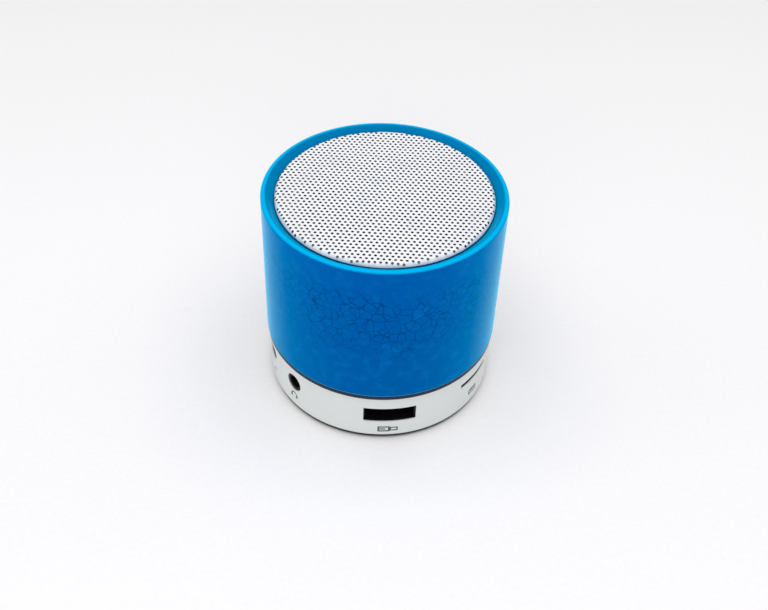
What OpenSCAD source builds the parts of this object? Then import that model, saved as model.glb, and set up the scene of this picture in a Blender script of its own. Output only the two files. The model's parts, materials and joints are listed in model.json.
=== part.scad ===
// Portable wireless speaker: a crackle-finish drum on a white socket ring.
// Millimetres, +Z up. The origin is the centre of the rubber pad's underside,
// and the USB socket faces -Y. Angles round the ring are measured from -Y,
// positive towards +X.

/* [Body] */
// Outer radius of the blue drum
drum_r = 30; // [30:0.1:30.6]
// Height of the whole speaker
overall_h = 56.9; // [56.9:0.1:58]
// Outer radius of the white socket ring
base_r = 29.3; // [29:0.1:29.6]
// Height of the socket ring's outer wall above the surface
base_top = 15.2; // [15.2:0.1:15.6]
// Height of the dark seam between ring and drum
seam_h = 1; // [0.8:0.1:1.2]

/* [Grille] */
// Outer radius of the grille's rolled edge
grille_r = 26.7; // [26.5:0.1:27]
// Distance between neighbouring holes
hole_pitch = 1.45; // [1.35:0.05:3]
// Radius of one hole
hole_r = 0.35; // [0.25:0.05:0.4]
// Angle by which the rows of holes are turned
row_turn = -9; // [-30:1:30]

/* [Sockets] */
// Angle of the headphone socket
jack_at = -54; // [-58:1:-52]
// Angle of the memory-card socket
card_at = 52; // [51:1:54]
// Angle of the charging socket
charge_at = -81; // [-86:1:-80]
// Height of the middle of the USB opening
usb_z = 8.9; // [8.6:0.1:8.9]

/* [Controls] */
// Angle of the power switch
power_at = 98; // [96:1:100]
// Travel of the power switch's knob
power_travel = 2; // [1:0.5:2]
// Angle between neighbouring keys
key_step = 26; // [24:1:28]
// Travel of a key
key_travel = 0.35; // [0.2:0.05:0.4]

/* [Hidden] */
$fn = 72;

// --- heights and radii worked out from the driving dimensions ---
drum_wall = 2;
drum_in = drum_r - drum_wall;
drum_bottom = base_top + seam_h;
ring_wall = 2;
ring_in = base_r - ring_wall;
ring_bottom = 1.1;
deck_top = base_top;
deck_bottom = 13.6;
deck_in = 20.5;
tray_half_x = 23;
tray_half_y = 12;
spigot_r = drum_in - 0.15;
spigot_top = 19.6;

board_r = 26.4;
board_bottom = 12;
board_top = 13.2;

ledge_top = overall_h - 2.6;
ledge_bottom = ledge_top - 1.2;
ledge_in = 25;
sheet = 0.5;
roll_r = 1;
grille_top = overall_h - 0.4;

baffle_top = ledge_bottom - 0.1;
seat = baffle_top - 1.4;
baffle_bottom = baffle_top - 3.2;
housing_r = drum_in - 0.3;
housing_in = housing_r - 1.4;
housing_bottom = spigot_top + 0.2;

gasket_t = 0.4;
flange_z = seat + gasket_t;
flange_t = 0.8;
flange_r = 21;
frame_bottom = flange_z - 6.6;
plate_t = 2.5;
magnet_t = 6;
plate_z = frame_bottom - 0.7 - plate_t;
magnet_z = plate_z - magnet_t;
yoke_z = magnet_z - plate_t;
pole_r = 6.1;
former_in = 6.35;
former_out = 6.55;

cover_r = 28.9;
cover_bottom = 0.5;
pad_r = 25;
pad_t = 1.2;

mouth = ring_in - 0.2;
usb_w = 13.1;
usb_h = 5.3;
usb_depth = 12.6;
usb_mouth = base_r - 1.4;
jack_r = 1.8;
jack_z = 9.6;
card_z = 10.4;
charge_z = 10.2;
power_z = 9.2;
key_z = 8.8;
key_w = 8;
key_h = 4.4;
contact_radii = [18, 22.5];
mic_at = 118;
led_at = -108;

key_angles = [180 - key_step, 180, 180 + key_step];
board_screw_angles = [-33, 78, 134, -128];
board_screw_r = 24.2;
housing_screw_angles = [20, 110, 200, 290];
housing_screw_r = 23.2;
driver_screw_angles = [45, 135, 225, 315];
driver_screw_r = 22.6;
post_places = [[-17, 5], [17, 5], [0, -9.5]];

// A direction that no stretch of the leads runs along, used to sweep them.
lead_ref = [0.65, 0.7, -0.3];

// Routes of the internal leads, from the part above to the circuit board.
speaker_lead = [
    [2.5, -17.2, frame_bottom - 1.95], [2.5, -17.3, 41.6], [2.6, -18.2, 38],
    [3.2, -19.2, 33], [4, -19.6, 28], [4, -19.8, 23.5], [3.2, -19.6, 19],
    [2.6, -19.4, 15.6], [2.5, -19.4, board_top + 0.05]
];
inner_battery_lead = [
    [1, 17, 20.95], [1.2, 17, 22.2], [2.6, 16.6, 23.4], [5.6, 15.2, 24],
    [9.8, 12.2, 24], [14.2, 8.2, 23.8], [17.6, 4.6, 23],
    [19, 2.4, 21.6], [18.8, 1.4, 20.2], [17.05, 1.2, 19.4]
];
outer_battery_lead = [
    [-1, 17, 20.95], [-0.8, 17.2, 22.4], [1, 17.8, 24.2], [5.6, 17.2, 25.2],
    [11, 14.6, 25.2], [15.8, 10.2, 24.6], [19.2, 5, 23.4], [20.4, 1, 21.6],
    [19.2, -0.8, 20], [17.05, -1.2, 19.4]
];

// --- shared shapes ---

// A tube between two heights.
module tube(r_out, r_in, z0, z1) {
    translate([0, 0, z0]) difference() {
        cylinder(r = r_out, h = z1 - z0);
        translate([0, 0, -1]) cylinder(r = r_in, h = z1 - z0 + 2);
    }
}

// Turns a piece drawn facing -Y to its angle round the ring.
module at(angle) {
    rotate([0, 0, angle]) children();
}

// A box centred across X, running inwards from the radius r by depth.
module inward_box(r, w, depth, z0, z1) {
    translate([-w / 2, -r, z0]) cube([w, depth, z1 - z0]);
}

// A round bar pointing outwards, from the radius r0 to r1, at height z.
module outward_bar(radius, r0, r1, z) {
    translate([0, -r0, z]) rotate([90, 0, 0]) cylinder(r = radius, h = r1 - r0);
}

// A bar with round ends and a flat middle, pointing outwards.
module outward_slot(w, h, r0, r1, z) {
    for (side = [-1, 1])
        translate([side * (w - h) / 2, 0, 0]) outward_bar(h / 2, r0, r1, z);
    translate([-(w - h) / 2, -r1, z - h / 2]) cube([w - h, r1 - r0, h]);
}

// A pan-head screw pointing up: head below z, shank above it, cross recess.
module screw_up(head_r, head_h, shank_r, shank_h) {
    difference() {
        union() {
            translate([0, 0, -head_h]) cylinder(r = head_r, h = head_h);
            cylinder(r = shank_r, h = shank_h - shank_r);
            translate([0, 0, shank_h - shank_r])
                rotate_extrude() polygon([[0, 0], [shank_r, 0], [0, shank_r]]);
        }
        for (turn = [0, 90]) rotate([0, 0, turn])
            translate([-head_r * 0.6, -head_r * 0.13, -head_h - 1])
                cube([head_r * 1.2, head_r * 0.26, 1 + head_h * 0.6]);
    }
}

module round_hole(radius, z0, z1) {
    translate([0, 0, z0]) cylinder(r = radius, h = z1 - z0);
}

// Points of an arc, for profiles that are turned.
function arc(cx, cz, r, a0, a1, steps) =
    [for (i = [0:steps]) let (a = a0 + (a1 - a0) * i / steps)
        [cx + r * cos(a), cz + r * sin(a)]];

// A round lead swept along its route.
function unit(v) = v / norm(v);
function heading(path, i) =
    unit(path[min(i + 1, len(path) - 1)] - path[max(i - 1, 0)]);
module lead(path, r, sides = 8) {
    rings = len(path);
    points = [for (i = [0:rings - 1], k = [0:sides - 1])
        let (
            along = heading(path, i),
            across = unit(cross(along, lead_ref)),
            up = cross(across, along),
            a = 360 * k / sides
        ) path[i] + r * (cos(a) * across + sin(a) * up)];
    walls = [for (i = [0:rings - 2], k = [0:sides - 1]) let (n = (k + 1) % sides)
        [i * sides + k, i * sides + n, (i + 1) * sides + n, (i + 1) * sides + k]];
    ends = [
        [for (k = [sides - 1:-1:0]) k],
        [for (k = [0:sides - 1]) (rings - 1) * sides + k]
    ];
    polyhedron(points, concat(walls, ends), convexity = 6);
}

function mirror_x(path) = [for (p = path) [-p[0], p[1], p[2]]];

// --- drum and grille ---

// The drum: one moulding, with a rim, a sloping collar and the grille's ledge.
module outer_shell() {
    color([0.02, 0.35, 0.72]) rotate_extrude($fn = 180) polygon(concat(
        [[drum_in, drum_bottom]],
        arc(drum_r - 0.65, drum_bottom + 0.65, 0.65, -90, 0, 6),
        arc(drum_r - 0.65, overall_h - 0.65, 0.65, 0, 90, 6),
        arc(drum_in + 0.9, overall_h - 0.4, 0.4, 90, 140, 3),
        [[grille_r + 0.25, overall_h - 1.8], [grille_r + 0.25, ledge_top],
         [ledge_in, ledge_top], [ledge_in, ledge_bottom],
         [drum_in, ledge_bottom]]
    ));
}

// The perforated plate: flat, with an edge rolled down onto the ledge.
module grille() {
    flat_r = grille_r - roll_r;
    rows = ceil(flat_r / hole_pitch) + 1;
    row_gap = hole_pitch * sqrt(3) / 2;
    color([0.86, 0.87, 0.9]) {
        translate([0, 0, grille_top - sheet]) rotate([0, 0, row_turn])
            linear_extrude(sheet) difference() {
                circle(r = flat_r, $fn = 120);
                for (i = [-rows:rows], j = [-rows - 3:rows + 3])
                    let (
                        x = hole_pitch * (i + 0.5 * (abs(j) % 2)),
                        y = row_gap * j
                    )
                    if (norm([x, y]) < flat_r - hole_r - 0.5)
                        translate([x, y]) circle(r = hole_r, $fn = 24);
            }
        rotate_extrude($fn = 120) polygon(concat(
            [[flat_r - 0.4, grille_top - sheet], [flat_r - 0.4, grille_top]],
            arc(flat_r, grille_top - roll_r, roll_r, 80, 0, 5),
            [[grille_r, ledge_top], [grille_r - sheet, ledge_top]],
            arc(flat_r, grille_top - roll_r, roll_r - sheet, 0, 80, 5)
        ));
    }
}

// --- driver ---

// The white moulding that carries the driver and spreads the light.
module driver_housing() {
    color([0.93, 0.94, 0.95]) difference() {
        union() {
            tube(housing_r, housing_in, housing_bottom, baffle_top);
            tube(housing_r, 18.8, baffle_bottom, baffle_top);
            for (a = housing_screw_angles) at(a) {
                translate([0, -housing_screw_r, deck_top])
                    cylinder(r = 2.9, h = 12);
                inward_box(housing_in + 0.4, 2, 4, housing_bottom, deck_top + 12);
            }
            for (a = driver_screw_angles) at(a)
                translate([0, -driver_screw_r, baffle_bottom - 3.5])
                    cylinder(r = 2, h = 4);
        }
        round_hole(flange_r + 0.15, seat, baffle_top + 1);
        for (a = housing_screw_angles) at(a)
            translate([0, -housing_screw_r, 0]) round_hole(0.95, 0, deck_top + 10);
        for (a = driver_screw_angles) at(a) translate([0, -driver_screw_r, 0]) {
            round_hole(0.95, baffle_bottom - 2.5, baffle_top + 1);
            round_hole(2.2, flange_z + flange_t, baffle_top + 1);
        }
    }
}

module driver_gasket() {
    color([0.12, 0.12, 0.13]) tube(flange_r - 0.1, 18.9, seat, flange_z);
}

// The pressed steel frame, with four windows and a tab for the terminals.
module driver_basket() {
    color([0.2, 0.2, 0.21]) difference() {
        union() {
            rotate_extrude() polygon([
                [18, flange_z], [13, frame_bottom], [8, frame_bottom],
                [8, frame_bottom - 0.7], [13.7, frame_bottom - 0.7],
                [18.4, flange_z - 0.6], [18.4, flange_z], [flange_r, flange_z],
                [flange_r, flange_z + flange_t], [18, flange_z + flange_t]
            ]);
            tube(13.4, 11.6, frame_bottom - 0.2, frame_bottom + 0.8);
            inward_box(16.6, 7, 2.6, frame_bottom + 0.6, frame_bottom + 1.2);
        }
        for (a = [45:90:315]) at(a)
            inward_box(19, 9, 5.6, frame_bottom + 1.8, flange_z - 1.4);
    }
}

module magnet() {
    color([0.16, 0.16, 0.17]) tube(16, 7.6, magnet_z, plate_z);
}

module top_plate() {
    color([0.62, 0.63, 0.64]) tube(15, 7.05, plate_z, plate_z + plate_t);
}

// The back plate and the pole piece, turned from one blank.
module yoke() {
    color([0.62, 0.63, 0.64]) {
        translate([0, 0, yoke_z]) cylinder(r = 15, h = plate_t);
        translate([0, 0, yoke_z]) cylinder(r = pole_r, h = 11);
    }
}

// The coil's former with its copper winding.
module voice_coil() {
    color([0.75, 0.42, 0.2]) {
        tube(former_out, former_in, plate_z - 2.6, frame_bottom + 3.4);
        tube(6.75, former_in, plate_z - 0.6, plate_z + plate_t + 0.2);
    }
}

cone_neck = frame_bottom + 2.4;
cone_edge = flange_z + 0.4;

// A point on the cone's curve, for t from 0 at the neck to 1 at the edge.
function flare(t, lift) =
    [former_out + 0.4 + 8.6 * t, cone_neck + lift + 4.4 * pow(t, 1.25)];

// The paper cone, from the coil's former to the surround.
module cone() {
    color([0.1, 0.1, 0.11]) rotate_extrude() polygon(concat(
        [[former_out + 0.05, cone_neck + 0.9], [former_out + 0.05, cone_neck]],
        [for (t = [0:0.2:1]) flare(t, 0)],
        [[16.2, cone_edge], [16.2, cone_edge + 0.4], [15.3, cone_edge + 0.4]],
        [for (t = [0.96:-0.2:0]) flare(t, 0.5)]
    ));
}

module dust_cap() {
    cap_r = 9.5;
    rise = 2.4;
    ball = (cap_r * cap_r + rise * rise) / (2 * rise);
    half = asin(cap_r / ball);
    foot = cone_neck + 1.8;
    color([0.13, 0.13, 0.14]) rotate_extrude() polygon(concat(
        arc(0, foot + rise - ball, ball, 90 - half, 90, 8),
        arc(0, foot + rise - ball, ball - 0.3, 90, 90 - half, 8)
    ));
}

// The half-roll rubber edge between the cone and the frame.
module surround() {
    roll = 1.3;
    mid = 17.6;
    foot = flange_z + flange_t;
    color([0.07, 0.07, 0.08]) rotate_extrude() polygon(concat(
        [[15.1, foot]],
        [[15.1, foot + 0.35]],
        arc(mid, foot + 0.1, roll + 0.4, 170, 10, 10),
        [[20.2, foot + 0.35], [20.2, foot]],
        arc(mid, foot, roll, 0, 180, 10)
    ));
}

// The corrugated cloth that centres the coil.
module spider() {
    foot = frame_bottom + 0.8;
    color([0.8, 0.62, 0.3]) rotate_extrude() polygon(concat(
        [for (i = [0:24]) [former_out + 0.06 + i * 0.26,
            foot + 0.3 + (i < 2 || i > 22 ? 0 : 0.25 * (1 - cos(i * 90)))]],
        [for (i = [24:-1:0]) [former_out + 0.06 + i * 0.26,
            foot + (i < 2 || i > 22 ? 0 : 0.25 * (1 - cos(i * 90)))]]
    ));
}

module front_gasket() {
    foot = flange_z + flange_t + 0.42;
    color([0.3, 0.26, 0.2]) tube(20.2, 19.35, foot, foot + 0.6);
}

// The tag strip with its two soldering lugs.
module terminal_board() {
    top = frame_bottom + 0.6;
    color([0.55, 0.38, 0.18]) inward_box(16.6, 7, 1, top - 3.6, top);
    color([0.8, 0.78, 0.7]) for (side = [-1, 1])
        translate([side * 2.5 - 0.75, -17.6, top - 2.5]) cube([1.5, 1, 1.6]);
}

module driver_screws() {
    color([0.7, 0.71, 0.72]) for (a = driver_screw_angles) at(a)
        translate([0, -driver_screw_r, flange_z + flange_t])
            rotate([180, 0, 0]) screw_up(2, 1.3, 0.85, 5);
}

module speaker_leads() {
    color([0.7, 0.05, 0.05]) lead(speaker_lead, 0.45);
    color([0.05, 0.05, 0.05]) lead(mirror_x(speaker_lead), 0.45);
}

// --- socket ring and bottom ---

module seam_ring() {
    color([0.05, 0.05, 0.06])
        tube(drum_r - 0.2, spigot_r + 0.1, base_top, drum_bottom);
}

// The white ring: wall, spigot for the drum, deck, tray and screw posts.
module base_ring() {
    color([0.9, 0.9, 0.88]) difference() {
        union() {
            rotate_extrude($fn = 180) polygon(concat(
                [[ring_in, ring_bottom]],
                arc(base_r - 0.8, ring_bottom + 0.8, 0.8, -90, 0, 5),
                arc(base_r - 0.3, base_top - 0.3, 0.3, 0, 90, 3),
                [[spigot_r, base_top], [spigot_r, spigot_top],
                 [spigot_r - 1.6, spigot_top], [spigot_r - 1.6, deck_top],
                 [deck_in, deck_top], [deck_in, deck_bottom],
                 [ring_in, deck_bottom]]
            ));
            translate([-tray_half_x, -tray_half_y, deck_top - 1.2])
                cube([2 * tray_half_x, 2 * tray_half_y, 1.2]);
            for (a = board_screw_angles) at(a)
                translate([0, -board_screw_r, board_top])
                    cylinder(r = 2.2, h = deck_bottom - board_top + 0.5);
            for (p = post_places) translate([p[0], p[1], 3.7])
                cylinder(r = 2.4, h = deck_top - 3.7 - 0.5);
        }
        for (a = board_screw_angles) at(a)
            translate([0, -board_screw_r, 0]) round_hole(0.95, 0, deck_top - 0.4);
        for (a = housing_screw_angles) at(a)
            translate([0, -housing_screw_r, 0]) {
                round_hole(1.1, 0, deck_top + 1);
                round_hole(2.1, 0, deck_bottom + 0.7);
            }
        for (p = post_places) translate([p[0], p[1], 0]) round_hole(0.95, 0, 9.5);
        inward_box(base_r + 1, usb_w + 0.2, 4, usb_z - 2.35, usb_z + 2.35);
        inward_box(usb_mouth + 0.15, usb_w + 0.6, 4, usb_z - 3, board_bottom + 0.3);
        at(jack_at) {
            outward_bar(2.6, ring_in - 1, base_r + 1, jack_z);
            inward_box(ring_in - 0.2, 7, 3, board_bottom - 5.8, board_bottom + 0.6);
        }
        at(card_at) {
            inward_box(base_r + 1, 11.8, 4, card_z - 0.7, card_z + 0.7);
            inward_box(ring_in - 0.4, 13.2, 3, card_z - 1.2, board_bottom + 0.3);
        }
        at(charge_at) outward_slot(8.2, 3.2, ring_in - 1, base_r + 1, charge_z);
        at(power_at) inward_box(base_r + 1, 5.4, 4, power_z - 1.2, power_z + 1.2);
        for (a = key_angles) at(a)
            outward_slot(key_w + 0.5, key_h + 0.5, ring_in - 1, base_r + 1, key_z);
        at(mic_at) outward_bar(0.6, ring_in - 1, base_r + 1, key_z);
        at(led_at) outward_bar(1.05, ring_in - 1, base_r + 1, key_z);
    }
}

// The black bottom cover, with a lip inside the ring and a recess for the pad.
module bottom_cover() {
    lip_r = ring_in - 0.2;
    color([0.06, 0.06, 0.07]) difference() {
        union() {
            translate([0, 0, cover_bottom])
                cylinder(r = cover_r, h = ring_bottom - cover_bottom);
            translate([0, 0, ring_bottom]) cylinder(r = lip_r, h = 1.2);
            tube(lip_r, lip_r - 1.4, ring_bottom + 1, 4);
            for (p = post_places) translate([p[0], p[1], ring_bottom])
                cylinder(r = 3, h = 2.6);
        }
        round_hole(pad_r + 0.2, 0, pad_t);
        for (p = post_places) translate([p[0], p[1], 0]) {
            round_hole(1.1, 0, 5);
            round_hole(2.1, 0, pad_t + 1.4);
        }
    }
}

module rubber_pad() {
    color([0.09, 0.09, 0.1]) rotate_extrude($fn = 120) polygon([
        [0, 0], [pad_r - 0.4, 0], [pad_r, 0.4], [pad_r, pad_t], [0, pad_t]
    ]);
}

module cover_screws() {
    color([0.2, 0.2, 0.21]) for (p = post_places)
        translate([p[0], p[1], pad_t + 1.4]) screw_up(1.9, 1.3, 0.85, 6.5);
}

module housing_screws() {
    color([0.7, 0.71, 0.72]) for (a = housing_screw_angles) at(a)
        translate([0, -housing_screw_r, deck_bottom + 0.7])
            screw_up(1.9, 1, 0.85, 9.5);
}

// --- circuit board and what is soldered to it ---

module circuit_board() {
    color([0.05, 0.3, 0.16]) difference() {
        translate([0, 0, board_bottom])
            cylinder(r = board_r, h = board_top - board_bottom);
        for (a = board_screw_angles) at(a)
            translate([0, -board_screw_r, 0]) round_hole(1.1, 0, 20);
        for (p = post_places) translate([p[0], p[1], 0]) round_hole(2.7, 0, 20);
    }
}

module board_screws() {
    color([0.7, 0.71, 0.72]) for (a = board_screw_angles) at(a)
        translate([0, -board_screw_r, board_bottom]) screw_up(1.9, 1.2, 0.85, 2.7);
}

// The folded steel shell of the USB socket, open at the front, on four legs.
module usb_shell() {
    half_h = usb_h / 2;
    color([0.1, 0.1, 0.11]) difference() {
        union() {
            inward_box(usb_mouth, usb_w, usb_depth, usb_z - half_h, usb_z + half_h);
            for (side = [-1, 1], r = [25, 18]) translate([side * 6.2, 0, 0])
                inward_box(r, 0.7, 1.6, usb_z + half_h - 0.2, board_bottom);
        }
        inward_box(usb_mouth + 1, usb_w - 0.6, usb_depth,
            usb_z - half_h + 0.3, usb_z + half_h - 0.3);
    }
}

module usb_tongue() {
    top = usb_z + usb_h / 2 - 0.35;
    color([0.04, 0.04, 0.05]) {
        inward_box(usb_mouth - 1.8, 11.2, usb_depth - 3, usb_z + 0.35, top);
        inward_box(usb_mouth - 9.6, 12.4, 1.3, usb_z - 2.3, top);
    }
}

module usb_contacts() {
    color([0.85, 0.7, 0.3]) for (x = [-3.5, -1, 1, 3.5])
        translate([x - 0.5, -usb_mouth + 2.4, usb_z + 0.15]) cube([1, 7, 0.2]);
}

// The headphone socket: a black body with a plain bore and slotted sides.
module jack_body() {
    color([0.04, 0.04, 0.05]) at(jack_at) difference() {
        union() {
            inward_box(mouth, 6.2, 12.6, board_bottom - 5.3, board_bottom);
            outward_bar(2.5, mouth - 1, base_r - 0.4, jack_z);
        }
        outward_bar(jack_r, mouth - 11.6, base_r + 1, jack_z);
        for (side = [-1, 1], r = contact_radii) translate([side * 2.7, 0, 0])
            inward_box(r + 0.8, 1.2, 1.6, jack_z - 1.6, board_bottom + 1);
    }
}

// Flat contact blades in the socket's side slots, clear of the bore.
module jack_contacts() {
    color([0.85, 0.7, 0.3]) at(jack_at)
        for (side = [-1, 1], r = contact_radii) translate([side * 2.45, 0, 0])
            inward_box(r + 0.6, 0.3, 1.2, jack_z - 1.4, board_bottom);
}

module card_shell() {
    color([0.72, 0.73, 0.75]) at(card_at) difference() {
        inward_box(mouth - 0.6, 12.6, 12.7, card_z - 0.9, board_bottom);
        inward_box(mouth + 1, 12.1, 16, card_z - 0.7, card_z + 1);
    }
}

module card_base() {
    color([0.05, 0.05, 0.06]) at(card_at) {
        inward_box(mouth - 0.8, 11.9, 12.3, card_z + 0.55, card_z + 0.95);
        inward_box(mouth - 12.2, 11.9, 0.9, card_z - 0.65, card_z + 0.6);
    }
}

// The charging socket's shell, drawn from sheet with round ends.
module charge_shell() {
    color([0.72, 0.73, 0.75]) at(charge_at) difference() {
        union() {
            outward_slot(7.6, 2.8, mouth - 5.2, mouth + 0.2, charge_z);
            for (side = [-1, 1]) translate([side * 2.6, 0, 0])
                inward_box(mouth - 2.4, 1.4, 2, charge_z + 1, board_bottom);
        }
        outward_slot(7.1, 2.3, mouth - 4.9, mouth + 1, charge_z);
    }
}

module charge_tongue() {
    color([0.04, 0.04, 0.05]) at(charge_at)
        inward_box(mouth - 1, 3.8, 3.9, charge_z - 0.3, charge_z + 0.3);
}

// --- controls ---

// The slide switch's frame, with a channel that the slider runs in.
module switch_frame() {
    color([0.7, 0.71, 0.73]) at(power_at) difference() {
        inward_box(mouth - 0.3, 8.8, 3.6, power_z - 1.9, board_bottom);
        inward_box(mouth - 1.1, 7, 1.8, power_z - 1.15, power_z + 1.15);
        inward_box(mouth + 1, 5, 3, power_z - 1.1, power_z + 1.1);
    }
}

// The knob and its carriage, resting at the "off" end of the travel.
module switch_slider() {
    color([0.12, 0.12, 0.13]) at(power_at)
        translate([-power_travel / 2, 0, 0]) {
            inward_box(mouth - 1.25, 4.4, 1.5, power_z - 1, power_z + 1);
            inward_box(base_r + 0.3, 2.4, 3.8, power_z - 0.85, power_z + 0.85);
            for (x = [-0.8, 0, 0.8])
                translate([x - 0.15, -base_r - 0.5, power_z - 0.85])
                    cube([0.3, 0.3, 1.7]);
        }
}

key_back = ring_in - 1.1;

// One key: a curved cap with round ends, and a flange that keeps it in.
module key_cap() {
    intersection() {
        union() {
            outward_slot(key_w, key_h, key_back, base_r + 2, key_z);
            outward_slot(key_w + 1.4, key_h + 1.2, key_back, key_back + 0.6, key_z);
        }
        translate([0, 0, key_z - 5]) cylinder(r = base_r + 0.6, h = 10, $fn = 180);
    }
}

module key_plunger() {
    outward_bar(1, key_back - 2.6, key_back, key_z);
}

module previous_key() {
    color([0.9, 0.9, 0.88]) at(key_angles[0]) key_cap();
}

module play_key() {
    color([0.9, 0.9, 0.88]) at(key_angles[1]) key_cap();
}

module next_key() {
    color([0.9, 0.9, 0.88]) at(key_angles[2]) key_cap();
}

module previous_plunger() {
    color([0.1, 0.1, 0.1]) at(key_angles[0]) key_plunger();
}

module play_plunger() {
    color([0.1, 0.1, 0.1]) at(key_angles[1]) key_plunger();
}

module next_plunger() {
    color([0.1, 0.1, 0.1]) at(key_angles[2]) key_plunger();
}

module tact_switches() {
    color([0.16, 0.16, 0.17]) for (a = key_angles) at(a) difference() {
        inward_box(key_back - 1.2, 6, 3, key_z - 2, board_bottom);
        outward_bar(1.3, key_back - 3.05 - key_travel, key_back, key_z);
    }
}

module microphone() {
    color([0.75, 0.76, 0.78]) at(mic_at) {
        outward_bar(2, ring_in - 2.2, ring_in - 0.5, key_z);
        inward_box(ring_in - 1.7, 1.6, 0.5, key_z + 1.5, board_bottom);
    }
}

module status_led() {
    color([0.8, 0.85, 0.9]) at(led_at) {
        outward_bar(0.95, ring_in - 2.4, base_r - 0.1, key_z);
        inward_box(ring_in - 0.9, 3, 1.5, key_z - 1.2, board_bottom);
    }
}

// --- parts on the circuit board ---

module radio_chip() {
    color([0.08, 0.08, 0.09]) translate([-5, 0.5, board_bottom - 1.6])
        cube([10, 4, 1.5]);
    color([0.75, 0.75, 0.76]) for (i = [0:7], side = [-1, 1])
        translate([-4.6 + i * 1.27, side > 0 ? 4.5 : -0.5, board_bottom - 0.9])
            cube([0.4, 1, 0.9]);
}

module amplifier_chip() {
    color([0.08, 0.08, 0.09]) translate([-2.5, -4.6, board_bottom - 1.6])
        cube([5, 3, 1.5]);
    color([0.75, 0.75, 0.76]) for (i = [0:3], side = [-1, 1])
        translate([-2.1 + i * 1.27, side > 0 ? -1.6 : -5.4, board_bottom - 0.9])
            cube([0.4, 0.8, 0.9]);
}

module capacitors() {
    color([0.15, 0.15, 0.2]) for (p = [[-9, 12], [-3.5, 15], [9, 8]])
        translate([p[0], p[1], board_bottom - 5.2]) cylinder(r = 2, h = 5.2);
}

module crystal() {
    color([0.78, 0.79, 0.8]) for (x = [-1, 1])
        translate([5.5 + x * 2.2, 13.5, board_bottom - 3.4])
            cylinder(r = 1.7, h = 3.4);
    color([0.78, 0.79, 0.8]) translate([3.3, 11.8, board_bottom - 3.4])
        cube([4.4, 3.4, 3.4]);
}

module inductor() {
    color([0.25, 0.25, 0.26]) translate([-12.5, -1, board_bottom - 2.6])
        cube([4.6, 4.6, 2.6]);
}

// --- battery ---

module battery() {
    color([0.72, 0.74, 0.76]) translate([-17, -10.5, deck_top + 0.6])
        cube([34, 21, 6.4]);
}

module battery_tape() {
    color([0.1, 0.1, 0.1]) translate([-14, -8, deck_top]) cube([28, 16, 0.6]);
}

module battery_socket() {
    color([0.92, 0.9, 0.84]) difference() {
        translate([-4, 14.4, board_top]) cube([8, 5.2, 5.4]);
        translate([-3.2, 15.2, board_top + 1]) cube([6.4, 3.6, 6]);
    }
}

module battery_plug() {
    color([0.92, 0.9, 0.84])
        translate([-3.05, 15.35, board_top + 1.3]) cube([6.1, 3.3, 6.4]);
}

module battery_leads() {
    color([0.7, 0.05, 0.05]) lead(inner_battery_lead, 0.4);
    color([0.05, 0.05, 0.05]) lead(outer_battery_lead, 0.4);
}

outer_shell();
grille();
driver_housing();
driver_gasket();
driver_basket();
magnet();
top_plate();
yoke();
voice_coil();
cone();
dust_cap();
surround();
spider();
front_gasket();
terminal_board();
driver_screws();
speaker_leads();
seam_ring();
base_ring();
bottom_cover();
rubber_pad();
cover_screws();
housing_screws();
circuit_board();
board_screws();
usb_shell();
usb_tongue();
usb_contacts();
jack_body();
jack_contacts();
card_shell();
card_base();
charge_shell();
charge_tongue();
switch_frame();
switch_slider();
tact_switches();
previous_key();
play_key();
next_key();
previous_plunger();
play_plunger();
next_plunger();
microphone();
status_led();
radio_chip();
amplifier_chip();
capacitors();
crystal();
inductor();
battery();
battery_tape();
battery_socket();
battery_plug();
battery_leads();
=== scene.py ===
# %% [markdown]
# # A drum-shaped wireless speaker
# This lesson dresses a finished CAD model: a glossy blue drum with a crackle print,
# a white perforated grille and a white ring of sockets. The CAD model is loaded
# as a fixed frame, so every piece below is made straight in its final place.

# %% Load the frame
import json
import math
import bpy
import bmesh
from mathutils import Matrix, Vector, geometry


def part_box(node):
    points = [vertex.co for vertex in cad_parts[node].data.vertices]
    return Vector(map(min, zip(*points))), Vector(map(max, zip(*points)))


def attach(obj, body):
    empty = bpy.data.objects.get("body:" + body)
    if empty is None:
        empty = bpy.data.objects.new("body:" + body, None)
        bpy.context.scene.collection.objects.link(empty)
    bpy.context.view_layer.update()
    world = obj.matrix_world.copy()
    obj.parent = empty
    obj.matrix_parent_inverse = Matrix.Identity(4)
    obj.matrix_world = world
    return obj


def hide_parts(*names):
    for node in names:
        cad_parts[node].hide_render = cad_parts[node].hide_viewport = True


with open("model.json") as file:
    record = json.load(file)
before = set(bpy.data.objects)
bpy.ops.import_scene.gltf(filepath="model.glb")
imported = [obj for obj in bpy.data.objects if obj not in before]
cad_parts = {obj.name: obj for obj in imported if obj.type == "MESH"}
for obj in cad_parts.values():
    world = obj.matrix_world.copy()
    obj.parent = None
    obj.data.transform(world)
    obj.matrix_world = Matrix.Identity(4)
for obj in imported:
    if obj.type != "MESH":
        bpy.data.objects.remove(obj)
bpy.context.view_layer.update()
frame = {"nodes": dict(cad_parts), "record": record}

cad = frame["nodes"]
MM = 0.001

# %% [markdown]
# ## Camera
# The speaker is seen from in front and well above, from about 30 cm, a little to
# the left of the USB socket. A camera is three directions and a point, so its
# matrix is written out: first look at the foot of the drum, then pan, tilt, roll.

# %% Camera
ELEVATION = math.radians(45.6)
DISTANCE = 0.29604
LEFT_OF_SOCKET = math.radians(-6.4)
PAN = math.radians(-0.161)
TILT = math.radians(2.779)
ROLL = math.radians(-2.14)
LENS = 50.06

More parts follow.
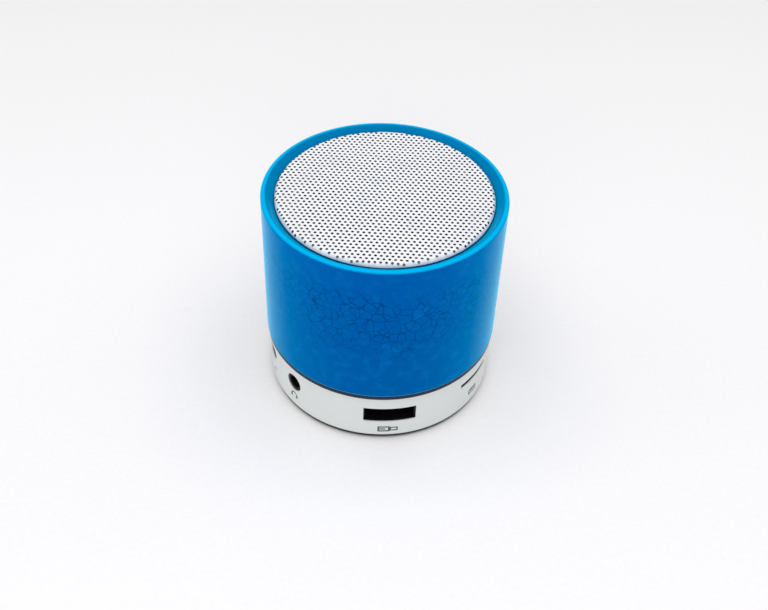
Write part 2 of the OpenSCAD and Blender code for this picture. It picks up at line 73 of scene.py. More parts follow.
place = Vector((0, -DISTANCE * math.cos(ELEVATION), DISTANCE * math.sin(ELEVATION)))
forward = -place.normalized()
right = Vector((1, 0, 0))
up = right.cross(forward)
pan = Matrix.Rotation(PAN, 3, up)
forward, right = pan @ forward, pan @ right
tilt = Matrix.Rotation(TILT, 3, right)
forward, up = tilt @ forward, tilt @ up
roll = Matrix.Rotation(ROLL, 3, forward)
right, up = roll @ right, roll @ up

lens = bpy.data.cameras.new("camera")
lens.sensor_width = 36
lens.lens = LENS
lens.clip_start = 0.01
camera = bpy.data.objects.new("camera", lens)
turn = Matrix((right, up, -forward)).transposed().to_4x4()
around = Matrix.Rotation(LEFT_OF_SOCKET, 4, "Z")
camera.matrix_world = around @ Matrix.Translation(place) @ turn
bpy.context.scene.collection.objects.link(camera)
bpy.context.scene.camera = camera
print("camera at", [round(v, 3) for v in camera.matrix_world.translation])

# %% [markdown]
# ## Colours, nodes and materials
# Colours are picked as sRGB hex values, and Blender works in linear light, so
# one function converts. One function adds a shader node with its fields, socket
# values and links. One function starts a material from a Principled shader whose
# plain numbers are set directly on its sockets.

# %% Helpers for materials
def to_linear(hex_colour):
    """An sRGB hex colour as linear RGBA."""
    parts = [int(hex_colour[i:i + 2], 16) / 255 for i in (1, 3, 5)]
    return [c / 12.92 if c <= 0.04045 else ((c + 0.055) / 1.055) ** 2.4
            for c in parts] + [1.0]


def add(tree, kind, fields={}, values={}, links={}):
    """Add one shader node; values and links are keyed by socket name or number."""
    made = tree.nodes.new("ShaderNode" + kind)
    for name, value in fields.items():
        setattr(made, name, value)
    for socket, value in values.items():
        made.inputs[socket].default_value = value
    for socket, output in links.items():
        tree.links.new(output, made.inputs[socket])
    return made


def start_material(name, colour, **sockets):
    """A Principled material; sockets are its inputs with _ for spaces."""
    made = bpy.data.materials.new(name)
    made.use_nodes = True
    tree = made.node_tree
    shader = tree.nodes["Principled BSDF"]
    shader.inputs["Base Color"].default_value = to_linear(colour)
    for socket, value in sockets.items():
        shader.inputs[socket.replace("_", " ")].default_value = value
    made.diffuse_color = to_linear(colour)
    return made, tree, shader


def mix_colours(tree, shader, factor, first, second):
    """Blend two hex colours by a factor and feed the shader's colour."""
    mixed = add(tree, "Mix", {"data_type": "RGBA"},
                {6: to_linear(first), 7: to_linear(second)}, {0: factor})
    tree.links.new(mixed.outputs[2], shader.inputs["Base Color"])
    return mixed


def place_noise(tree, scale, detail=3.0, stretch=(1, 1, 1)):
    """Noise fixed to the object's own coordinates, in cells per metre."""
    spot = add(tree, "TexCoord")
    scaled = add(tree, "Mapping", {}, {"Scale": stretch},
                 {"Vector": spot.outputs["Object"]})
    return add(tree, "TexNoise", {}, {"Scale": scale, "Detail": detail},
               {"Vector": scaled.outputs[0]})


def spread(tree, value, low, high, to_low, to_high):
    """Map a value's range low..high to another range."""
    return add(tree, "MapRange", {},
               {1: low, 2: high, 3: to_low, 4: to_high}, {0: value})


def blend(tree, factor, first, second):
    """Blend a colour output towards a hex colour by a factor."""
    return add(tree, "Mix", {"data_type": "RGBA"}, {7: to_linear(second)},
               {0: factor.outputs[0], 6: first.outputs[2]})


def from_axis(tree, spot):
    """The distance of a point from the upright axis."""
    level = add(tree, "VectorMath", {"operation": "MULTIPLY"}, {1: (1, 1, 0)},
                {0: spot.outputs["Object"]})
    return add(tree, "VectorMath", {"operation": "LENGTH"}, {},
               {0: level.outputs[0]}).outputs["Value"]


def bump(tree, shader, height, strength, depth):
    """Raise the surface by a height pattern; depth is in metres."""
    made = add(tree, "Bump", {}, {"Strength": strength, "Distance": depth},
               {"Height": height})
    tree.links.new(made.outputs[0], shader.inputs["Normal"])


print("helpers ready")

# %% [markdown]
# ## Studio
# The speaker stands on a seamless pale sheet in soft light. A large softbox
# hangs straight over it, which keeps the sheet even and draws the bright line
# along the rim. One in front fills the ring of sockets, and two small ones stand
# at the sides.

# %% Floor
def mesh_piece(name, points, faces, smooth_below=None):
    """A mesh object from points in mm; edges flatter than the angle are smooth."""
    data = bpy.data.meshes.new(name)
    data.from_pydata([[c * MM for c in p] for p in points], [], faces)
    form = bmesh.new()
    form.from_mesh(data)
    bmesh.ops.recalc_face_normals(form, faces=form.faces)
    if smooth_below is not None:
        for face in form.faces:
            face.smooth = True
        for edge in form.edges:
            if len(edge.link_faces) == 2:
                bend = edge.calc_face_angle(0)
                edge.smooth = bend < math.radians(smooth_below)
    form.to_mesh(data)
    form.free()
    made = bpy.data.objects.new(name, data)
    bpy.context.scene.collection.objects.link(made)
    return made


paper, tree, shader = start_material("matte_white_paper_sheet", "#f4f5f6",
                                     Roughness=0.9, IOR=1.3)
grain = place_noise(tree, 900)
pale = spread(tree, grain.outputs["Fac"], 0.3, 0.7, 0.0, 1.0)
mix_colours(tree, shader, pale.outputs[0], "#f4f3f4", "#f7f6f7")

# half the sheet's side in mm; it lies a hair below zero, so that nothing flickers
side = 900
floor = mesh_piece("studio_floor",
                   [(-side, -side, 0), (side, -side, 0), (side, side, 0), (-side, side, 0)],
                   [(0, 1, 2, 3)])
for vertex in floor.data.vertices:
    vertex.co.z -= 0.00002
floor.data.materials.append(paper)
print("floor", [round(v, 2) for v in floor.dimensions])

# %% Lights
def softbox(name, spot, target, width, height, power, colour="#ffffff"):
    """A rectangular area light at spot, turned to face target, sizes in metres."""
    lamp = bpy.data.lights.new(name, "AREA")
    lamp.shape = "RECTANGLE"
    lamp.size = width
    lamp.size_y = height
    lamp.energy = power
    lamp.color = to_linear(colour)[:3]
    made = bpy.data.objects.new(name, lamp)
    aim = Vector(target) - Vector(spot)
    made.location = spot
    made.rotation_euler = aim.to_track_quat("-Z", "Y").to_euler()
    bpy.context.scene.collection.objects.link(made)
    return made


softbox("overhead_softbox", (0, -0.06, 0.8), (0, 0, 0), 0.9, 0.8, 5.2)
softbox("front_softbox", (-0.15, -0.75, 0.3), (0, 0, 0.02), 0.7, 0.4, 1.5)
softbox("left_softbox", (-0.65, 0.1, 0.25), (0, 0, 0.03), 0.4, 0.5, 0.5)
softbox("right_softbox", (0.65, 0.1, 0.25), (0, 0, 0.03), 0.4, 0.5, 0.4)

studio = bpy.data.worlds.new("studio_air")
studio.use_nodes = True
studio.node_tree.nodes["Background"].inputs[0].default_value = to_linear("#f6f5f6")
studio.node_tree.nodes["Background"].inputs[1].default_value = 0.38
bpy.context.scene.world = studio
bpy.context.scene.view_settings.view_transform = "Standard"
print("four softboxes and a pale world")

# %% [markdown]
# ## Turning a round piece
# A round piece is a closed outline of (radius, height) points swept round the
# upright axis, as on a lathe. Doing it here gives a finer outline than the CAD
# mesh, so the edge of the drum stays round close up.

# %% Lathe
def bow(cx, cz, radius, first, last, steps):
    """Points of an arc of an outline, angles in degrees."""
    turns = [math.radians(first + (last - first) * i / steps) for i in range(steps + 1)]
    return [(cx + radius * math.cos(t), cz + radius * math.sin(t)) for t in turns]


def turned(name, outline, steps=256, smooth_below=35):
    """Sweep a closed outline round the Z axis."""
    count = len(outline)
    points = []
    for i in range(steps):
        t = 2 * math.pi * i / steps
        points += [(r * math.cos(t), r * math.sin(t), z) for r, z in outline]
    faces = []
    for i in range(steps):
        n = (i + 1) % steps
        for k in range(count):
            m = (k + 1) % count
            faces.append((i * count + k, n * count + k, n * count + m, i * count + m))
    return mesh_piece(name, points, faces, smooth_below)


def finish_piece(made, body, slot_name, material, *nodes):
    """Dress a piece, let it ride on its body and stand for its CAD nodes."""
    made.data.materials.append(material)
    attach(made, body)
    if nodes:
        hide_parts(*nodes)
    return made


print("lathe ready")

# %% [markdown]
# ## The drum
# On the real speaker the drum is one ABS moulding. A crackle pattern is printed
# on it and a clear coat is laid over, so the cracks are colour under gloss and
# can't be felt. The pattern could be painted by hand, but a Voronoi texture
# needs no unwrapping and keeps its cells at 2 to 3 mm all the way round. Noise
# makes their borders wander like crackle glaze. The print is strong round the
# drum's middle and fades near the rim and the foot. The coat gets glossier
# towards the edges, which pales the drum's outline.

# %% Drum material
lacquer, tree, shader = start_material(
    "clear_coated_crackle_print_on_abs", "#0060b4",
    Roughness=0.35, IOR=1.02, Coat_Roughness=0.12, Coat_IOR=1.4,
    Sheen_Weight=1.0, Sheen_Roughness=0.5, Sheen_Tint=to_linear("#00c4f4"))
# the clear coat mirrors the pale room only where the wall turns away
edge_on = add(tree, "LayerWeight", {}, {"Blend": 0.35})
gloss = spread(tree, edge_on.outputs["Facing"], 0.45, 0.9, 0.0, 1.0)
tree.links.new(gloss.outputs[0], shader.inputs["Coat Weight"])
spot = add(tree, "TexCoord")
split = add(tree, "SeparateXYZ", {}, {}, {0: spot.outputs["Object"]})
wander = add(tree, "TexNoise", {}, {"Scale": 420.0, "Detail": 2.0},
             {"Vector": spot.outputs["Object"]})
shift = add(tree, "VectorMath", {"operation": "MULTIPLY_ADD"},
            {1: (0.0011, 0.0011, 0.0011)}, {0: wander.outputs["Color"]})
tree.links.new(spot.outputs["Object"], shift.inputs[2])


def crackle_lines(scale, width, strength):
    """Thin borders between wandering cells; scale is cells per metre."""
    cells = add(tree, "TexVoronoi", {"feature": "DISTANCE_TO_EDGE"},
                {"Scale": scale}, {"Vector": shift.outputs[0]})
    return spread(tree, cells.outputs["Distance"], 0.0, width, strength, 0.0)


def times(first, second):
    """The product of two values."""
    return add(tree, "Math", {"operation": "MULTIPLY"}, {},
               {0: first.outputs[0], 1: second.outputs[0]})


wide = crackle_lines(440.0, 0.075, 1.0)
hair = crackle_lines(800.0, 0.06, 0.3)
lines = add(tree, "Math", {"operation": "MAXIMUM"}, {},
            {0: wide.outputs[0], 1: hair.outputs[0]})
# the print fades in above the foot and out below the rim; heights in metres
low_fade = spread(tree, split.outputs["Z"], 0.027, 0.037, 0.08, 1.0)
high_fade = spread(tree, split.outputs["Z"], 0.047, 0.0525, 1.0, 0.0)
patch = place_noise(tree, 150, 3)
worn = spread(tree, patch.outputs["Fac"], 0.3, 0.5, 0.45, 1.0)
printed = times(times(low_fade, high_fade), worn)
crackle = times(lines, printed)
# the blue gets a little lighter upwards, painted light from above, with faint clouds in it
height = spread(tree, split.outputs["Z"], 0.025, 0.05, 0.0, 1.0)
toned = add(tree, "Mix", {"data_type": "RGBA"},
            {6: to_linear("#004c9f"), 7: to_linear("#0050aa")}, {0: height.outputs[0]})
mottle = place_noise(tree, 420, 4)
cloud = spread(tree, mottle.outputs["Fac"], 0.5, 0.75, 0.0, 0.55)
toned = blend(tree, cloud, toned, "#0a68b8")
# painted highlight: the round top edge is painted pale cyan where it catches the light, and painted
# shade: the collar and everything inside it is painted a deeper blue
rim_highlight = spread(tree, split.outputs["Z"], 0.0563, 0.0568, 0.0, 1.0)
toned = blend(tree, rim_highlight, toned, "#00b0ea")
# painted shade: a deeper blue from the collar inwards
collar_shade = spread(tree, from_axis(tree, spot), 0.0287, 0.0291, 1.0, 0.0)
toned = blend(tree, collar_shade, toned, "#0076ae")
# painted highlight: a thin pale line along the foot, where its round edge catches the light
foot_highlight = spread(tree, split.outputs["Z"], 0.01665, 0.01675, 1.0, 0.0)
toned = blend(tree, foot_highlight, toned, "#5f9fc4")
coloured = blend(tree, crackle, toned, "#022b78")
tree.links.new(coloured.outputs[2], shader.inputs["Base Color"])
# the coat is not quite level, which softens the reflections
orange_peel = place_noise(tree, 700, 1)
bump(tree, shader, orange_peel.outputs["Fac"], 0.04, 0.00002)
print("drum material nodes:", len(tree.nodes))

# %% Drum
low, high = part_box("outer_shell")
drum_foot = low.z / MM
drum_top = high.z / MM
# radii in mm; the collar slopes down to a groove, and the ledge carries the grille
DRUM_R = 30
DRUM_IN = 28
EDGE_R = 0.65
COLLAR_R = 28.9
GROOVE_R = 26.95
LEDGE_IN = 25
LEDGE_TOP = drum_top - 2.6
LEDGE_BOTTOM = drum_top - 3.8
drum_outline = (
    [(DRUM_IN, drum_foot), (DRUM_R - 0.7, drum_foot)]
    + bow(DRUM_R - EDGE_R, drum_foot + EDGE_R, EDGE_R, -85, 0, 8)
    + [(DRUM_R, drum_foot + 0.9), (DRUM_R, drum_top - 1)]
    + bow(DRUM_R - EDGE_R, drum_top - EDGE_R, EDGE_R, 8, 90, 10)
    + bow(COLLAR_R, drum_top - 0.4, 0.4, 90, 140, 6)
    + [(GROOVE_R + 0.1, drum_top - 1.6), (GROOVE_R, drum_top - 1.8),
       (GROOVE_R, LEDGE_TOP), (LEDGE_IN, LEDGE_TOP),
       (LEDGE_IN, LEDGE_BOTTOM), (DRUM_IN, LEDGE_BOTTOM)])
drum = turned("blue_drum", drum_outline)
finish_piece(drum, "speaker", "drum_lacquer", lacquer, "outer_shell")
print("drum faces:", len(drum.data.polygons))

# %% [markdown]
# ## The grille
# The real grille is a flat steel blank, punched full of holes, whose edge is
# then rolled down and the whole sprayed white. It is made here in the same
# order. The punched blank is a flat triangulation with a ring of points round
# each hole, and every point is then moved onto the pressed profile, so the holes
# at the edge lean and stretch over the roll just as they do in the metal.

# %% Punched blank
# lengths in mm; the rows are turned a little against the speaker's front
HOLE_PITCH = 1.31
HOLE_R = 0.36
HOLE_SIDES = 14
RIM_SIDES = 160
ROW_TURN = math.radians(-8.8)
ROW_SHIFT = 0.19
ROLL_R = 1
SHEET = 0.3
GRILLE_R = 26.7
grille_top = drum_top - 0.4
flat_r = GRILLE_R - ROLL_R
blank_r = flat_r + ROLL_R * math.pi / 2
punched_r = flat_r + 0.95
plain_r = punched_r + HOLE_R + 0.13

centres = []
row_gap = HOLE_PITCH * math.sqrt(3) / 2
reach = int(blank_r / row_gap) + 2
for row in range(-reach, reach + 1):
    for column in range(-reach, reach + 1):
        x = HOLE_PITCH * (column + 0.5 * (row % 2))
        y = row_gap * row + ROW_SHIFT
        if math.hypot(x, y) < punched_r:
            turned_x = x * math.cos(ROW_TURN) - y * math.sin(ROW_TURN)
            turned_y = x * math.sin(ROW_TURN) + y * math.cos(ROW_TURN)
            centres.append((turned_x, turned_y))

plane_points = []
plane_edges = []
for ring_r in (blank_r, plain_r):
    start = len(plane_points)
    for i in range(RIM_SIDES):
        t = 2 * math.pi * i / RIM_SIDES
        plane_points.append(Vector((ring_r * math.cos(t), ring_r * math.sin(t))))
        plane_edges.append((start + i, start + (i + 1) % RIM_SIDES))
for cx, cy in centres:
    start = len(plane_points)
    for i in range(HOLE_SIDES):
        t = 2 * math.pi * (i + 0.5) / HOLE_SIDES
        plane_points.append(Vector((cx + HOLE_R * math.cos(t), cy + HOLE_R * math.sin(t))))
        plane_edges.append((start + i, start + (i + 1) % HOLE_SIDES))
flat = geometry.delaunay_2d_cdt(plane_points, plane_edges, [], 0, 1e-6)
print("holes:", len(centres), " blank points:", len(flat[0]))

# %% Roll the edge and thicken the sheet
hole_cells = {}
for cx, cy in centres:
    hole_cells.setdefault((int(cx // 2), int(cy // 2)), []).append((cx, cy))


def in_hole(x, y):
    """Whether a point of the blank lies inside one of the punched holes."""
    near_x, near_y = int(x // 2), int(y // 2)
    for i in (near_x - 1, near_x, near_x + 1):
        for j in (near_y - 1, near_y, near_y + 1):
            for cx, cy in hole_cells.get((i, j), ()):
                if math.hypot(x - cx, y - cy) < HOLE_R * 0.93:
                    return True
    return False


def pressed(x, y, below):
    """A point of the blank, moved onto the rolled profile, below its face."""
    out = math.hypot(x, y)
    if out <= flat_r:
        return (x, y, grille_top - below)
    lean = (out - flat_r) / ROLL_R
    ring = flat_r + (ROLL_R - below) * math.sin(lean)
    return (x / out * ring, y / out * ring,
            grille_top - ROLL_R + (ROLL_R - below) * math.cos(lean))


blank_points = [(p.x, p.y) for p in flat[0]]
kept = []
for face in flat[2]:
    mid_x = sum(blank_points[i][0] for i in face) / len(face)
    mid_y = sum(blank_points[i][1] for i in face) / len(face)
    if not in_hole(mid_x, mid_y):
        kept.append(tuple(face))
total = len(blank_points)
grille_points = [pressed(x, y, 0) for x, y in blank_points]
grille_points += [pressed(x, y, SHEET) for x, y in blank_points]
edge_use = {}
for face in kept:
    for i, a in enumerate(face):
        b = face[(i + 1) % len(face)]
        edge_use.setdefault((min(a, b), max(a, b)), []).append((a, b))
grille_faces = list(kept)
grille_faces += [tuple(i + total for i in reversed(face)) for face in kept]
sheet_faces = len(grille_faces)
for uses in edge_use.values():
    if len(uses) == 1:
        a, b = uses[0]
        grille_faces.append((b, a, a + total, b + total))
used = sorted({i for face in grille_faces for i in face})
number = {old: new for new, old in enumerate(used)}
grille_faces = [tuple(number[i] for i in face) for face in grille_faces]
grille = mesh_piece("perforated_grille", [grille_points[i] for i in used],
                    grille_faces, 40)
print("grille faces:", len(grille.data.polygons))

# %% Grille material
# a hard white skin with a faint grey bloom, softer than gloss paint
enamel, tree, shader = start_material("white_powder_coat_on_steel", "#e9ebef",
                                      Roughness=0.42, IOR=1.5)
dust = place_noise(tree, 140, 4)
soiled = spread(tree, dust.outputs["Fac"], 0.45, 0.75, 0.0, 0.6)
mix_colours(tree, shader, soiled.outputs[0], "#eef0f4", "#dfe2ea")
peel = place_noise(tree, 2600, 2)
bump(tree, shader, peel.outputs["Fac"], 0.15, 0.00003)
finish_piece(grille, "speaker", "grille_paint", enamel, "grille")

# dark steel hole walls, painted shade inside each hole, so that each hole reads as a hole from above
hole_wall_shade, tree, shader = start_material("punched_steel_edge_painted_shade", "#3a3c40",
                                       Metallic=1.0, Roughness=0.6)
burr = place_noise(tree, 3000, 2)
mix_colours(tree, shader, burr.outputs["Fac"], "#2c2e31", "#4a4c50")
grille.data.materials.append(hole_wall_shade)
for face in grille.data.polygons[sheet_faces:]:
    face.material_index = 1
print("grille dressed,", len(grille.data.polygons) - sheet_faces, "hole-wall faces")

# %% [markdown]
# ## Plastics
# Each plastic starts from its real surface. Moulded ABS is satin because the
# tool was textured, so its roughness is near 0.4 with a fine bump. Rubber
# scatters light widely. The sockets are black nylon, made near black as painted
# shade in their openings. The ring is white outside and black further in, which
# is painted shade in its socket windows.

# %% Plastics
def moulded(name, colour, other, roughness, grain_scale, grain_depth, ior=1.5):
    """A moulded plastic: slight colour variation, tool texture as fine bump."""
    made, tree, shader = start_material(name, colour, Roughness=roughness, IOR=ior)
    cloud = place_noise(tree, 120, 3)
    toned = spread(tree, cloud.outputs["Fac"], 0.35, 0.65, 0.0, 1.0)
    mix_colours(tree, shader, toned.outputs[0], colour, other)
    texture = place_noise(tree, grain_scale, 2)
    rough = spread(tree, texture.outputs["Fac"], 0.3, 0.7,
                   roughness - 0.05, roughness + 0.07)
    tree.links.new(rough.outputs[0], shader.inputs["Roughness"])
    bump(tree, shader, texture.outputs["Fac"], 0.2, grain_depth)
    return made


# soft, wide highlights on the keys
white_abs = moulded("satin_moulded_white_abs", "#dfe2e3", "#d6dadc", 0.38, 3000, 0.00002)
# plainer and duller, as it is never seen from outside
housing_abs = moulded("plain_moulded_white_abs", "#e2e3e2", "#d9dad8", 0.5, 2500, 0.00002)
# a satin white wall, and black everywhere further in than the outer wall: painted shade in the socket
# windows and inside the ring
ring_white_and_window_shade, tree, shader = start_material("white_abs_painted_window_shade", "#dde1df",
                                          Roughness=0.36, IOR=1.5)
spot = add(tree, "TexCoord")
window_shade_mask = spread(tree, from_axis(tree, spot), 0.02895, 0.0291, 0.0, 1.0)
mix_colours(tree, shader, window_shade_mask.outputs[0], "#0d0e0f", "#dde1df")
spray = place_noise(tree, 2600, 2)
bump(tree, shader, spray.outputs["Fac"], 0.2, 0.00002)
# charcoal rather than black where light grazes it
black_abs = moulded("fine_textured_black_abs", "#151617", "#1c1d1f", 0.45, 3000, 0.00003)
# black nylon made near black, painted shade in the openings, so that openings read as holes
socket_black = moulded("black_nylon_painted_opening_shade", "#030303", "#070708", 0.5, 2500, 0.00002, 1.3)
# fine speckle without gloss
chip_epoxy = moulded("moulded_epoxy_compound", "#17181a", "#202123", 0.55, 4000, 0.00002)
# waxy, slightly yellow
plug_nylon = moulded("natural_nylon", "#e6e0cd", "#dcd5c0", 0.35, 2000, 0.00002, 1.53)
# warm brown with a faint sheen
phenolic = moulded("brown_phenolic_laminate", "#6e4a25", "#5b3b1c", 0.5, 1800, 0.00003)
# a dark blue ring, partly painted shade for the shadowed gap between drum and ring, that still shows a
# little blue
seam_abs = moulded("dark_blue_abs_painted_gap_shade", "#051c30", "#08263e", 0.4, 2500, 0.00001, 1.35)
# no clear highlight at all
black_rubber = moulded("moulded_black_rubber", "#17181a", "#212224", 0.8, 1600, 0.00005)
# small open pits that swallow light
foam = moulded("closed_cell_black_foam", "#1b1b1c", "#2a2a2b", 0.95, 1400, 0.0002)
# fibrous and dull
card_board = moulded("pressed_brown_card", "#6b5640", "#5a4733", 0.9, 900, 0.0001)
# soft sheen along each lead
lead_pvc = moulded("soft_red_pvc_sleeve", "#9c1712", "#8a120e", 0.5, 2500, 0.00002)
print("plastics ready")

# %% [markdown]
# ## Metals
# A metal's colour is the colour of its reflection, so it goes in the base colour
# with metallic at 1 and the default IOR. Turned parts carry fine rings, and
# plated screws are smoother and brighter.

# %% Metals
def metal(name, colour, other, roughness, stretch, scale, depth):
    """A metal with brushed or turned marks along one direction."""
    made, tree, shader = start_material(name, colour, Metallic=1.0, Roughness=roughness)
    marks = place_noise(tree, scale, 3, stretch)
    toned = spread(tree, marks.outputs["Fac"], 0.3, 0.7, 0.0, 1.0)
    mix_colours(tree, shader, toned.outputs[0], colour, other)
    rough = spread(tree, marks.outputs["Fac"], 0.3, 0.7, roughness - 0.06, roughness + 0.1)
    tree.links.new(rough.outputs[0], shader.inputs["Roughness"])
    bump(tree, shader, marks.outputs["Fac"], 0.15, depth)
    return made


# rings from the lathe catch the light
zinc_steel = metal("turned_zinc_plated_steel", "#aeb1b5", "#9b9ea3", 0.3, (1, 1, 12), 500, 0.00002)
# brighter and bluer than bare steel
zinc_screws = metal("bright_zinc_plate", "#c2c5c9", "#b0b4ba", 0.24, (1, 1, 6), 900, 0.00001)
# long soft streaks along the fold
tin_plate = metal("folded_tin_plated_steel", "#bfc3c8", "#aeb2b8", 0.3, (8, 1, 1), 500, 0.00001)
# small warm glints
gold_contact = metal("gold_flashed_bronze", "#d7b062", "#c99f50", 0.26, (1, 6, 1), 900, 0.00001)
# turns of wire as fine bands
copper_wire = metal("wound_enamelled_copper", "#c0703c", "#8f4a22", 0.32, (0.2, 0.2, 9), 1400, 0.00006)
# drawn marks round the can
can_aluminium = metal("drawn_aluminium_can", "#8e9299", "#7b7f88", 0.34, (1, 1, 8), 700, 0.00001)
# creased, cloudy silver
pouch_foil = metal("matt_pouch_foil", "#b9bdc4", "#a9adb5", 0.42, (1, 1, 1), 260, 0.0001)
# dull dark steel
black_screws = metal("black_oxide_steel", "#3a3b3e", "#2c2d30", 0.4, (1, 1, 6), 900, 0.00001)
# near black and even, painted shade in the sockets, so sockets look deep
black_steel = moulded("near_black_steel_painted_socket_shade", "#060607", "#0b0b0c", 0.5, 2200, 0.00003, 1.35)
# stone-like grey with fine grains
ferrite = moulded("sintered_ferrite", "#26272a", "#303134", 0.6, 1500, 0.00006)
# felt-like, with loose fibres
paper_cone = moulded("felted_black_paper", "#101113", "#1d1e20", 0.85, 1300, 0.0001)
# ochre cloth stiffened with resin
spider_cloth = moulded("woven_impregnated_cloth", "#b08a45", "#94713a", 0.85, 1800, 0.0001)
# thin gloss over dark green
board_green = moulded("green_solder_mask", "#0d4a2a", "#0a3d22", 0.3, 700, 0.00003)
print("metals ready")

# %% [markdown]
# ## Status light
# The lens is a clear moulding. It passes most light and spreads it a little, so
# the lamp behind it reads as a soft dot.

# %% Lens material
led_lens, tree, shader = start_material("clear_diffusing_lens", "#dfe9f5",
                                        Roughness=0.18, IOR=1.49, Transmission_Weight=0.75)
haze = place_noise(tree, 2400, 2)
rough = spread(tree, haze.outputs["Fac"], 0.3, 0.7, 0.14, 0.26)
tree.links.new(rough.outputs[0], shader.inputs["Roughness"])
print("lens ready")

# %% [markdown]
# ## Dress the CAD pieces
# Pieces whose CAD shape is already right keep it and take a better material.
# The record says which finish each piece has, so one table of finishes dresses
# them all, and a new piece in the CAD model needs no new line here.

# %% Dress
finishes = {
    "drum_lacquer": lacquer, "grille_paint": enamel, "white_abs": white_abs,
    "housing_abs": housing_abs, "black_abs": black_abs, "seam_abs": seam_abs,
    "black_rubber": black_rubber, "foam": foam, "card_board": card_board,
    "phenolic": phenolic, "black_steel": black_steel, "ferrite": ferrite,
    "zinc_steel": zinc_steel, "copper_wire": copper_wire,
    "paper_cone": paper_cone, "spider_cloth": spider_cloth,
    "zinc_screws": zinc_screws, "black_screws": black_screws,
    "lead_pvc": lead_pvc, "board_green": board_green, "tin_plate": tin_plate,
    "gold_contact": gold_contact, "socket_black": socket_black,
    "led_lens": led_lens, "chip_epoxy": chip_epoxy,
    "can_aluminium": can_aluminium, "pouch_foil": pouch_foil,
    "plug_nylon": plug_nylon,
}
for part in frame["record"]["subparts"]:
    node = cad[part["node"]]
    for place_in in node.material_slots:
        place_in.material = finishes[part["material_slot"]]
    if not node.material_slots:
        node.data.materials.append(finishes[part["material_slot"]])
cad["base_ring"].material_slots[0].material = ring_white_and_window_shade

# %% [markdown]
# ## Printed marks
# Under each socket the ring carries a small grey mark that says what plugs in.
# They are plain pictures, not words: a plug, headphones, a card and a spark.
# Each is a thin film of ink, made flat and then wrapped onto the ring, so it
# follows the curve and keeps its size in millimetres.

# %% Ink
# grey with tiny gaps, as a pad leaves it on a textured wall
ink, tree, shader = start_material("pad_printed_grey_ink", "#3a3d41", Roughness=0.55, IOR=1.5)
specks = place_noise(tree, 5200, 2)
faded = spread(tree, specks.outputs["Fac"], 0.35, 0.7, 0.0, 1.0)
mix_colours(tree, shader, faded.outputs[0], "#33363a", "#4d5156")
RING_R = 29.3
INK = 0.015


def wrap(x, z, lift, middle, radius):
    """A point of a flat mark, wrapped onto a round wall at an angle from -Y."""
    t = math.radians(middle) + x / radius
    out = radius + lift
    return (out * math.sin(t), -out * math.cos(t), z)


def film(name, strokes, middle, height, radius, body, slot_name, material):
    """A mark of flat polygons, each wrapped, thickened and closed."""
    points, faces = [], []
    for stroke in strokes:
        start, n = len(points), len(stroke)
        for lift in (-0.02, INK):
            points += [wrap(x, height + z, lift, middle, radius) for x, z in stroke]
        for i in range(n):
            j = (i + 1) % n
            faces.append((start + i, start + j, start + n + j, start + n + i))
        for i in range(n // 2 - 1):
            a, b, c, d = i, i + 1, n - 2 - i, n - 1 - i
            faces.append((start + n + a, start + n + b, start + n + c, start + n + d))
            faces.append((start + d, start + c, start + b, start + a))
    made = mesh_piece(name, points, faces, 30)
    return finish_piece(made, body, slot_name, material)


def strip(points, width):
    """A line of constant width as one polygon: out along one side, back on the other."""
    sides = ([], [])
    for i, (x, z) in enumerate(points):
        ax, az = points[max(i - 1, 0)]
        bx, bz = points[min(i + 1, len(points) - 1)]
        length = math.hypot(bx - ax, bz - az)
        nx, nz = -(bz - az) / length * width / 2, (bx - ax) / length * width / 2
        sides[0].append((x + nx, z + nz))
        sides[1].append((x - nx, z - nz))
    return sides[0] + sides[1][::-1]


def bar(x0, z0, x1, z1):
    """A filled rectangle, cut along its length so that it bends with the wall."""
    xs = [x0 + (x1 - x0) * i / 6 for i in range(7)]
    return [(x, z0) for x in xs] + [(x, z1) for x in reversed(xs)]


def frame_of(x0, z0, x1, z1, width):
    """A rectangle drawn as four bars."""
    return [bar(x0, z0, x1, z0 + width), bar(x0, z1 - width, x1, z1),
            bar(x0, z0 + width, x0 + width, z1 - width),
            bar(x1 - width, z0 + width, x1, z1 - width)]


print("ink ready")

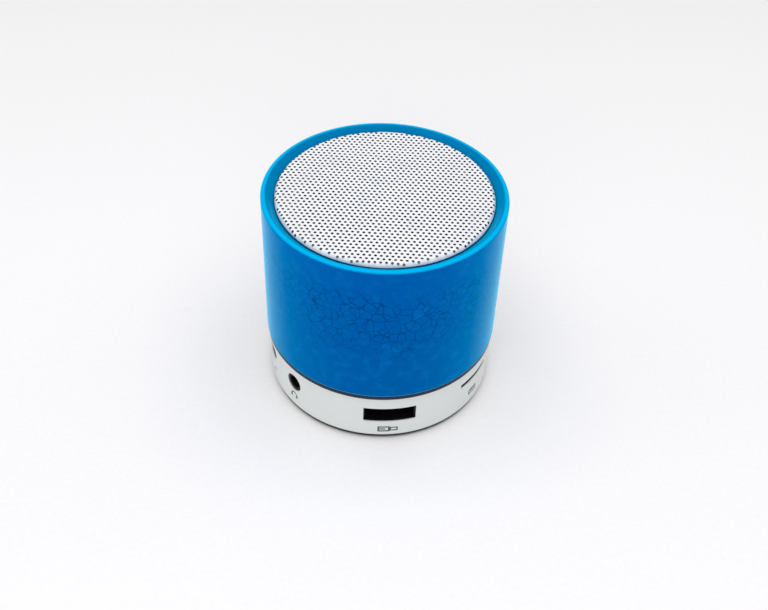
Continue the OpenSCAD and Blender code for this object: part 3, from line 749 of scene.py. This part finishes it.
# %% Marks on the ring
plug_mark = (frame_of(-2.6, -0.95, 0.5, 0.95, 0.4) + frame_of(0.5, -0.68, 2.6, 0.68, 0.36)
             + [bar(-2.2, -0.2, -0.6, 0.2)])
film("plug_mark", plug_mark, -0.8, 3.7, RING_R, "speaker", "white_abs", ink)

band_arc = [(0.95 * math.cos(math.radians(a)), 0.95 * math.sin(math.radians(a)) - 0.1)
            for a in range(180, -1, -20)]
phones_mark = [strip(band_arc, 0.32), bar(-1.3, -0.9, -0.66, 0.0), bar(0.66, -0.9, 1.3, 0.0)]
film("headphone_mark", phones_mark, -54, 5.2, RING_R, "speaker", "white_abs", ink)

card_mark = frame_of(-1.7, -0.9, 1.7, 0.9, 0.34)
card_mark += [bar(-1.05 + 0.75 * i, -0.15, -0.65 + 0.75 * i, 0.56) for i in range(3)]
film("card_mark", card_mark, 51, 5.4, RING_R, "speaker", "white_abs", ink)

spark_mark = [strip([(-0.9, 0), (-0.2, 0), (-0.2, 0.55), (0.7, 0), (-0.2, -0.55), (-0.2, 0)], 0.2)]
film("charge_mark", spark_mark, -75, 5.1, RING_R, "speaker", "white_abs", ink)
print("four marks on the ring")

# %% [markdown]
# ## Marks on the keys
# The keys carry printed signs that every player shares: back, play and pause,
# forward. They ride with their keys, so they sink when a key is pressed.

# %% Marks on the keys
KEY_R = 29.9
KEY_Z = 8.8


def wedge(x0, x1, half):
    """A filled triangle pointing from x0 to x1, as a four-sided polygon."""
    return [(x0, -half), (x1, -0.06), (x1, 0.06), (x0, half)]


film("back_sign", [wedge(0.9, -0.2, 0.75), wedge(-0.2, -1.3, 0.75)],
     154, KEY_Z, KEY_R, "previous_button", "white_abs", ink)
film("play_sign", [wedge(-1.5, 0.0, 0.85), bar(0.45, -0.8, 0.8, 0.8), bar(1.2, -0.8, 1.55, 0.8)],
     180, KEY_Z, KEY_R, "play_button", "white_abs", ink)
film("forward_sign", [wedge(-0.9, 0.2, 0.75), wedge(0.2, 1.3, 0.75)],
     206, KEY_Z, KEY_R, "next_button", "white_abs", ink)
print("key signs done")
